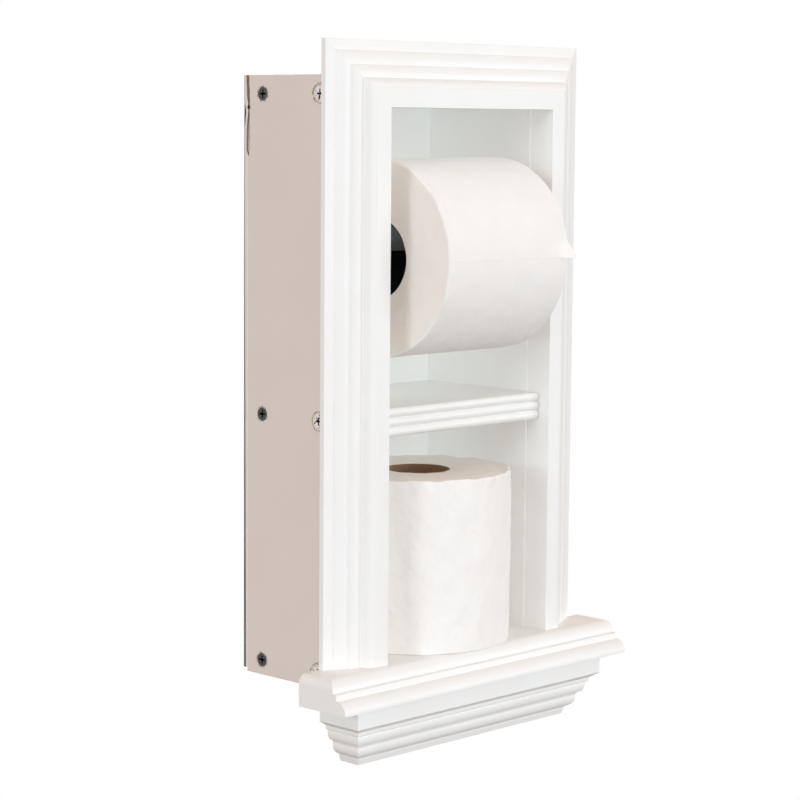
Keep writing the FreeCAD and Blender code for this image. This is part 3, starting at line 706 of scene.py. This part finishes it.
def painted_over(material, limit):
    """Adds torn white paint to the part of a metal that lies nearer than a depth limit, and paints
    shade, near black, into the cross recess.
    """
    tree = material.node_tree
    shader = tree.nodes["Principled BSDF"]
    place = next(node for node in tree.nodes if node.type == "TEX_COORD").outputs["Object"]
    apart = add(tree, "ShaderNodeSeparateXYZ", {0: place})
    near = add(tree, "ShaderNodeMath", {0: apart.outputs["Y"], 1: limit}, operation="LESS_THAN")
    rag = add(tree, "ShaderNodeTexNoise", {"Vector": place, "Scale": 1 / (1.5 * MM),
                                           "Detail": 2.0})
    kept = add(tree, "ShaderNodeMath", {0: rag.outputs["Fac"], 1: 0.42},
               operation="GREATER_THAN")
    cover = add(tree, "ShaderNodeMath", {0: near.outputs[0], 1: kept.outputs[0]},
                operation="MULTIPLY")
    paint = add(tree, "ShaderNodeMix", {"Factor": cover.outputs[0],
                                        "A": shader.inputs["Base Color"].links[0].from_socket,
                                        "B": linear("EDE8E2")}, data_type="RGBA")
    # Painted shade: the cross recess, below the face of the board, is coloured near black
    sunk = add(tree, "ShaderNodeMath", {0: add(tree, "ShaderNodeMath", {0: apart.outputs["X"]},
                                               operation="ABSOLUTE").outputs[0],
                                        1: -side_low.x - RECESS_SHADE_DEPTH},
               operation="LESS_THAN")
    painted_recess_shade = add(tree, "ShaderNodeMix", {"Factor": sunk.outputs[0], "A": paint.outputs[2],
                                        "B": linear("0A1119")}, data_type="RGBA")
    tree.links.new(painted_recess_shade.outputs[2], shader.inputs["Base Color"])
    metal = add(tree, "ShaderNodeMath", {0: 1.0, 1: cover.outputs[0]}, operation="SUBTRACT")
    tree.links.new(metal.outputs[0], shader.inputs["Metallic"])
    return material


zinc = painted_over(steel("zinc_plated_screw_steel", "8E989C", 0.4, 1.1 * MM, "707C86"),
                    SHELTERED)
bright = steel("bright_drawn_nail_steel", "B4B4B2", 0.32)
coil_steel = steel("oiled_spring_steel", "77787A", 0.3)
chrome = steel("worn_chrome_roller_steel", "E4E4E0", 0.55, 0.8 * MM)


def wear(node, material):
    """A design piece keeps its shape and gets this material."""
    for slot in frame["nodes"][node].material_slots:
        slot.material = material


for node in ("left_side_screws", "right_side_screws"):
    wear(node, zinc)
for node in ("back_panel_nails", "casing_brads", "apron_brads"):
    wear(node, bright)
coil = finish_piece(merged_copy("roller_spring", "coil_spring"), "roller_spring", coil_steel)
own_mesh(coil)
for node in ("roller_barrel", "roller_plunger", "roller_left_tip", "roller_right_tip"):
    tube = merged_copy(node, f"{node}_plated")
    start_editing(tube)
    pick("EDGE", lambda edge: len(edge.link_faces) == 2 and edge.is_convex
         and edge.calc_face_angle() > math.radians(50))
    bpy.ops.mesh.bevel(offset=0.2 * MM, segments=2, affect="EDGES", clamp_overlap=True)
    stop_editing()
    smooth(tube)
    finish_piece(tube, node, chrome)
print("metals:", zinc.name, bright.name, coil_steel.name, chrome.name)

# %% [markdown]
# ## Tissue paper
# Toilet tissue is two thin plies of creped fibre, embossed together. It has no gloss, it lets
# a little light through, and its surface is a field of soft dimples. On a roll's end the wound
# plies show as fine rings. Real rings are 0.13 mm apart; they are drawn at 0.9 mm so they show.

# %% Make the tissue
DIMPLE = 2.2 * MM
RING = 0.9 * MM


def tissue(name, colour, shade, middle=None, axis=None):
    """Embossed tissue, or with a middle and an axis the wound end of a roll of it."""
    material, tree, shader, place = new_material(name)
    cloud = add(tree, "ShaderNodeTexNoise", {"Vector": place, "Scale": 1 / (14 * MM),
                                             "Detail": 3.0})
    tone = add(tree, "ShaderNodeMix", {"Factor": cloud.outputs["Fac"], "A": linear(colour),
                                       "B": linear(shade)}, data_type="RGBA")
    tree.links.new(tone.outputs[2], shader.inputs["Base Color"])
    fluff = add(tree, "ShaderNodeTexNoise", {"Vector": place, "Scale": 1 / (0.7 * MM),
                                             "Detail": 3.0, "Roughness": 0.7})
    if middle is None:
        dots = add(tree, "ShaderNodeTexVoronoi", {"Vector": place, "Scale": 1 / DIMPLE},
                   feature="SMOOTH_F1")
        height, depth = dots.outputs["Distance"], 0.16 * MM
    else:
        flat = [0.0 if letter == axis else 1.0 for letter in "XYZ"]
        centred = add(tree, "ShaderNodeVectorMath", {0: place, 1: middle}, operation="SUBTRACT")
        across = add(tree, "ShaderNodeVectorMath", {0: centred.outputs[0], 1: flat},
                     operation="MULTIPLY")
        reach = add(tree, "ShaderNodeVectorMath", {0: across.outputs[0]}, operation="LENGTH")
        wander = add(tree, "ShaderNodeMath", {0: cloud.outputs["Fac"], 1: 1.5 * MM,
                                              2: reach.outputs["Value"]},
                     operation="MULTIPLY_ADD")
        turns = add(tree, "ShaderNodeMath", {0: wander.outputs[0], 1: 2 * math.pi / RING},
                    operation="MULTIPLY")
        rings = add(tree, "ShaderNodeMath", {0: turns.outputs[0]}, operation="SINE")
        height, depth = rings.outputs[0], 0.035 * MM
    emboss = add(tree, "ShaderNodeBump", {"Height": height, "Strength": 0.7,
                                          "Distance": depth})
    nap = add(tree, "ShaderNodeBump", {"Height": fluff.outputs["Fac"], "Strength": 0.6,
                                       "Distance": 0.1 * MM, "Normal": emboss.outputs[0]})
    tree.links.new(nap.outputs[0], shader.inputs["Normal"])
    shader.inputs["Roughness"].default_value = 0.95
    shader.inputs["Specular IOR Level"].default_value = 0.2
    shader.inputs["Sheen Weight"].default_value = 0.15
    shader.inputs["Sheen Roughness"].default_value = 0.6
    return material


def middle_of(node):
    low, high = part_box(node)
    return (low + high) / 2


hung_middle = middle_of("paper_roll")
spare_middle = middle_of("spare_roll")
paper = tissue("embossed_tissue", "F8F6F3", "F3EFEA")
hung_end = tissue("hung_roll_wound_end", "F7F1EA", "F2EAE1", tuple(hung_middle), "X")
spare_end = tissue("spare_roll_wound_end", "F7F1EA", "F0E7DD", tuple(spare_middle), "Z")
print("roll middles:", [round(v, 4) for v in hung_middle], [round(v, 4) for v in spare_middle])

# %% [markdown]
# ## A wound roll
# A roll of tissue could be a plain tube, but a real one is soft: the outer ply ripples, the
# ends are not quite flat because the plies shift as they are wound, and the rims are crumpled.
# Each roll starts as a cylinder. Its ends are inset to the core's size and bridged into a hole,
# the rims are bevelled and the surface is subdivided. Then every vertex moves a little by
# smooth noise, which is quicker than a cloth simulation and the same in every run.

# %% Shape a roll
AROUND = 300
ALONG = 84
ROUND_LAYERS = 18


def roll_blank(name, middle, radius, bore, length, turn):
    """A thick tube with bevelled rims, dense enough for its surface to ripple."""
    bpy.ops.object.select_all(action="DESELECT")
    bpy.ops.mesh.primitive_cylinder_add(vertices=AROUND, radius=radius, depth=length,
                                        location=middle, rotation=turn)
    blank = bpy.context.object
    blank.name = name
    bpy.ops.object.transform_apply(location=True, rotation=True, scale=True)
    axis = Vector((1, 0, 0)) if turn[1] else Vector((0, 0, 1))

    def reach(corner):
        offset = corner - middle
        return (offset - axis * offset.dot(axis)).length

    start_editing(blank)
    pick("FACE", lambda face: len(face.verts) > 4)
    bpy.ops.mesh.inset(thickness=radius - bore)
    bpy.ops.mesh.bridge_edge_loops()
    pick("EDGE", lambda edge: all(reach(v.co) > radius - 1 * MM for v in edge.verts)
         and abs((edge.verts[0].co - edge.verts[1].co).normalized().dot(axis)) < 0.1)
    bpy.ops.mesh.bevel(offset=1.1 * MM, segments=3, affect="EDGES", clamp_overlap=False)
    pick("EDGE", lambda edge: abs((edge.verts[0].co - edge.verts[1].co).dot(axis))
         > length / 2 and reach(edge.verts[0].co) > radius - 0.1 * MM)
    bpy.ops.mesh.subdivide(number_cuts=ALONG)
    pick("EDGE", lambda edge: abs(reach(edge.verts[0].co) - reach(edge.verts[1].co))
         > (radius - bore) / 2)
    bpy.ops.mesh.subdivide(number_cuts=ROUND_LAYERS)
    bpy.ops.mesh.select_all(action="SELECT")
    bpy.ops.mesh.normals_make_consistent(inside=False)
    stop_editing()
    print(f"{name}: {len(blank.data.vertices)} vertices before it is rippled")
    return blank, axis, reach


FOLD_WIDTH = 0.07
BROAD_TURNS, BROAD_WAVE = 6.0, 18 * MM
FINE_TURNS, FINE_WAVE = 24.0, 5 * MM


def surface_lift(outward, axis, along, broad, fine):
    """How far the outer ply stands up at a spot: a slow ripple and a quick one."""
    slow = noise.noise(outward * BROAD_TURNS + axis * along / BROAD_WAVE)
    quick = noise.noise(outward * FINE_TURNS + axis * along / FINE_WAVE)
    return broad * slow + fine * quick


def ripple(roll, axis, reach, middle, radius, length, waves):
    """Moves each vertex by smooth noise. waves gives the outer ripple, its fine part, the
    unevenness of the ends, the crumple of the rim, the height of creases, and how far the
    outer ply stands up past the end, in metres."""
    broad, fine, ends, rim, crease, lip = waves
    for corner in roll.data.vertices:
        offset = corner.co - middle
        along = offset.dot(axis)
        outward = (offset - axis * along).normalized()
        depth = reach(corner.co)
        share = max(0.0, (depth - 0.8 * radius) / (0.2 * radius))
        lift = surface_lift(outward, axis, along, broad, fine)
        nearness = max(0.0, 1 - (length / 2 - abs(along)) / (6 * MM))
        lift += rim * nearness * noise.noise(outward * 6.0 + axis * math.copysign(3, along))
        # Creases are the thin ridges where smooth noise passes through zero, drawn out aslant
        slant = Vector((0.62, -0.35, 0.7)) * along / (11 * MM)
        fold = abs(noise.noise(outward * 3.2 + slant))
        amount = max(0.0, noise.noise(outward * 1.4 + Vector((5.0, 2.0, 1.0))) + 0.25)
        lift += crease * amount * max(0.0, 1 - fold / FOLD_WIDTH)
        shift = ends * noise.noise(outward * 2.5 + axis * (depth / (3.5 * MM)))
        shift *= 1 if abs(along) > length / 2 - 2 * MM else 0
        if along > 0 and abs(depth - radius + 0.4 * MM) < 0.75 * MM:
            shift += lip * nearness * max(0.0, 0.35 + noise.noise(outward * 5.0))
        corner.co += outward * lift * share + axis * shift


WHITE_RIM = 1.2 * MM


def colour_ends(roll, axis, reach, radius):
    """The wound plies show on the ends, and the loose outer plies stay white round the rim."""
    for face in roll.data.polygons:
        wound = abs(face.normal.dot(axis)) > 0.8 and reach(face.center) < radius - WHITE_RIM
        face.material_index = 1 if wound else 0


# %% The hung roll
BORE_GAP = 0.05 * MM
core_low, core_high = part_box("paper_roll_core")
HUNG_BORE = (core_high.z - core_low.z) / 2 + BORE_GAP
hung_low, hung_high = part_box("paper_roll")
HUNG_RADIUS = (hung_high.z - hung_low.z) / 2
HUNG_LENGTH = hung_high.x - hung_low.x
hung_roll, hung_axis, hung_reach = roll_blank("hung_roll_tissue", hung_middle, HUNG_RADIUS,
                                              HUNG_BORE, HUNG_LENGTH, (0, math.pi / 2, 0))
HUNG_WAVES = (0.35 * MM, 0.12 * MM, 0.3 * MM, 0.5 * MM, 0.08 * MM, 0.0)
ripple(hung_roll, hung_axis, hung_reach, hung_middle, HUNG_RADIUS, HUNG_LENGTH, HUNG_WAVES)
finish_piece(hung_roll, "paper_roll", paper, hung_end)
colour_ends(hung_roll, hung_axis, hung_reach, HUNG_RADIUS)
smooth(hung_roll, 50)

# %% The spare roll
spare_low, spare_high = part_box("spare_roll")
SPARE_RADIUS = (spare_high.x - spare_low.x) / 2
SPARE_LENGTH = spare_high.z - spare_low.z
core_low, core_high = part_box("spare_roll_core")
SPARE_BORE = (core_high.x - core_low.x) / 2 + BORE_GAP
spare_roll, spare_axis, spare_reach = roll_blank("spare_roll_tissue", spare_middle,
                                                 SPARE_RADIUS, SPARE_BORE, SPARE_LENGTH,
                                                 (0, 0, 0))
SPARE_WAVES = (1.0 * MM, 0.4 * MM, 0.5 * MM, 1.1 * MM, 1.0 * MM, 1.3 * MM)
ripple(spare_roll, spare_axis, spare_reach, spare_middle, SPARE_RADIUS, SPARE_LENGTH,
       SPARE_WAVES)
finish_piece(spare_roll, "spare_roll", paper, spare_end)
colour_ends(spare_roll, spare_axis, spare_reach, SPARE_RADIUS)
smooth(spare_roll, 50)

# %% [markdown]
# ## The loose end
# The roll's last sheet comes over the top and down the front, and ends in a row of torn
# perforations. Its right corner has curled away from the roll. It is one thin sheet: a grid
# is laid out flat, its torn edge is roughened, and then it is wound onto the roll in code.

# %% Wind the last sheet
SHEET_STEPS = (150, 170)
# Where the sheet starts and ends, in degrees from the roll's top towards the room
SHEET_START = -14
EDGE_LEFT, EDGE_RIGHT = 89.8, 90.2
CURL_HEIGHT = 7.0 * MM
CURL_ALONG = 11 * MM
CURL_ACROSS = 9 * MM
PERFORATION = 1.4 * MM
TOOTH = 0.35 * MM
FRAY = 0.5 * MM
PLY = 0.22 * MM

bpy.ops.object.select_all(action="DESELECT")
bpy.ops.mesh.primitive_grid_add(x_subdivisions=SHEET_STEPS[0], y_subdivisions=SHEET_STEPS[1],
                                size=1, location=(0, 0, 0))
tail = bpy.context.object
tail.name = "last_sheet"
for corner in tail.data.vertices:
    across, down = corner.co.x + 0.5, corner.co.y + 0.5
    x = hung_low.x + across * HUNG_LENGTH
    edge = EDGE_LEFT + (EDGE_RIGHT - EDGE_LEFT) * across
    angle = SHEET_START + (edge - SHEET_START) * down
    teeth = TOOTH * math.sin(2 * math.pi * x / PERFORATION)
    teeth += FRAY * noise.noise(Vector((x / (4 * MM), 0.3, 0.7)))
    angle += math.degrees(teeth / HUNG_RADIUS) * max(0.0, (down - 0.985) / 0.015)
    turn = math.radians(angle)
    outward = Vector((0, -math.sin(turn), math.cos(turn)))
    along = x - hung_middle.x
    lift = surface_lift(outward, hung_axis, along, *HUNG_WAVES[:2])
    settle = min(1.0, (angle - SHEET_START) / 12)
    lift += (0.62 * settle - 0.35) * MM
    from_edge = (edge - angle) * math.pi / 180 * HUNG_RADIUS
    from_right = hung_high.x - x
    lift += 0.3 * MM * max(0.0, 1 - from_edge / (5 * MM)) * (0.5 + noise.noise(
        Vector((x / (16 * MM), 4.0, 0.0))))
    curl = max(0.0, 1 - from_edge / CURL_ALONG) * max(0.0, 1 - from_right / CURL_ACROSS)
    lift += CURL_HEIGHT * curl ** 1.25
    spot = hung_middle + outward * (HUNG_RADIUS + lift)
    corner.co = Vector((x, spot.y, spot.z))
thicken = tail.modifiers.new("ply", "SOLIDIFY")
thicken.thickness = PLY
thicken.offset = 0
bpy.ops.object.modifier_apply(modifier=thicken.name)
start_editing(tail)
bpy.ops.mesh.select_all(action="SELECT")
bpy.ops.mesh.normals_make_consistent(inside=False)
stop_editing()
smooth(tail, 60)
finish_piece(tail, "paper_tail", paper)

# %% [markdown]
# ## Cardboard cores
# A core is a strip of cardboard wound in a spiral and glued, so a shallow seam runs round it
# like a barber's pole. The seam is real relief: vertices near the spiral sink. The spare roll's
# core is brown cardboard; the hung roll's core, the wider one, is coloured near black, painted
# shade for the dark inside of its tube.

# %% Make the cardboard and the cores
CORE_AROUND = 128
CORE_ALONG = 100
CORE_WALL = 0.6 * MM
SEAM_PITCH = 62 * MM
SEAM_WIDTH = 1.6 * MM
SEAM_DEPTH = 0.12 * MM


def cardboard(name, dark, light):
    """Pulp that was wound wet: blotchy, matt and a little rough to the touch."""
    material, tree, shader, place = new_material(name)
    pulp = add(tree, "ShaderNodeTexNoise", {"Vector": place, "Scale": 1 / (0.8 * MM),
                                            "Detail": 4.0, "Roughness": 0.7})
    tone = add(tree, "ShaderNodeMix", {"Factor": pulp.outputs["Fac"], "A": linear(dark),
                                       "B": linear(light)}, data_type="RGBA")
    tree.links.new(tone.outputs[2], shader.inputs["Base Color"])
    rise = add(tree, "ShaderNodeBump", {"Height": pulp.outputs["Fac"], "Strength": 0.5,
                                        "Distance": 0.05 * MM})
    tree.links.new(rise.outputs[0], shader.inputs["Normal"])
    shader.inputs["Roughness"].default_value = 0.85
    return material


brown_board = cardboard("spiral_wound_brown_cardboard", "8A6B4E", "B89878")
# Painted shade: a near black board stands for the shade inside the hung roll's tube
shade_dark_board = cardboard("shade_dark_core_cardboard", "0B1016", "1B2026")


def core(name, node, turn, board):
    """A thin cardboard tube with a spiral seam."""
    low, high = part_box(node)
    middle = (low + high) / 2
    lying = bool(turn[1])
    radius = (high.z - low.z) / 2 if lying else (high.x - low.x) / 2
    length = high.x - low.x if lying else high.z - low.z
    bpy.ops.object.select_all(action="DESELECT")
    bpy.ops.mesh.primitive_cylinder_add(vertices=CORE_AROUND, radius=radius, depth=length,
                                        location=middle, rotation=turn)
    tube = bpy.context.object
    tube.name = name
    bpy.ops.object.transform_apply(location=True, rotation=True, scale=True)
    start_editing(tube)
    pick("FACE", lambda face: len(face.verts) > 4)
    bpy.ops.mesh.inset(thickness=CORE_WALL)
    bpy.ops.mesh.bridge_edge_loops()
    pick("EDGE", lambda edge: edge.calc_length() > length / 2)
    bpy.ops.mesh.subdivide(number_cuts=CORE_ALONG)
    bpy.ops.mesh.select_all(action="SELECT")
    bpy.ops.mesh.normals_make_consistent(inside=False)
    stop_editing()
    for corner in tube.data.vertices:
        offset = corner.co - middle
        along = offset.x if lying else offset.z
        flat = Vector((0, offset.y, offset.z)) if lying else Vector((offset.x, offset.y, 0))
        angle = math.atan2(flat.z, flat.y) if lying else math.atan2(flat.y, flat.x)
        turns = along / SEAM_PITCH + angle / (2 * math.pi)
        away = abs(turns - round(turns)) * SEAM_PITCH * 0.9
        sink = SEAM_DEPTH * max(0.0, 1 - away / SEAM_WIDTH)
        inner = flat.length < radius - CORE_WALL / 2
        corner.co += flat.normalized() * (sink if inner else -sink)
    smooth(tube, 40)
    finish_piece(tube, node, board)
    keep_dark(tube)
    return tube


core("hung_core_cardboard", "paper_roll_core", (0, math.pi / 2, 0), shade_dark_board)
core("spare_core_cardboard", "spare_roll_core", (0, 0, 0), brown_board)
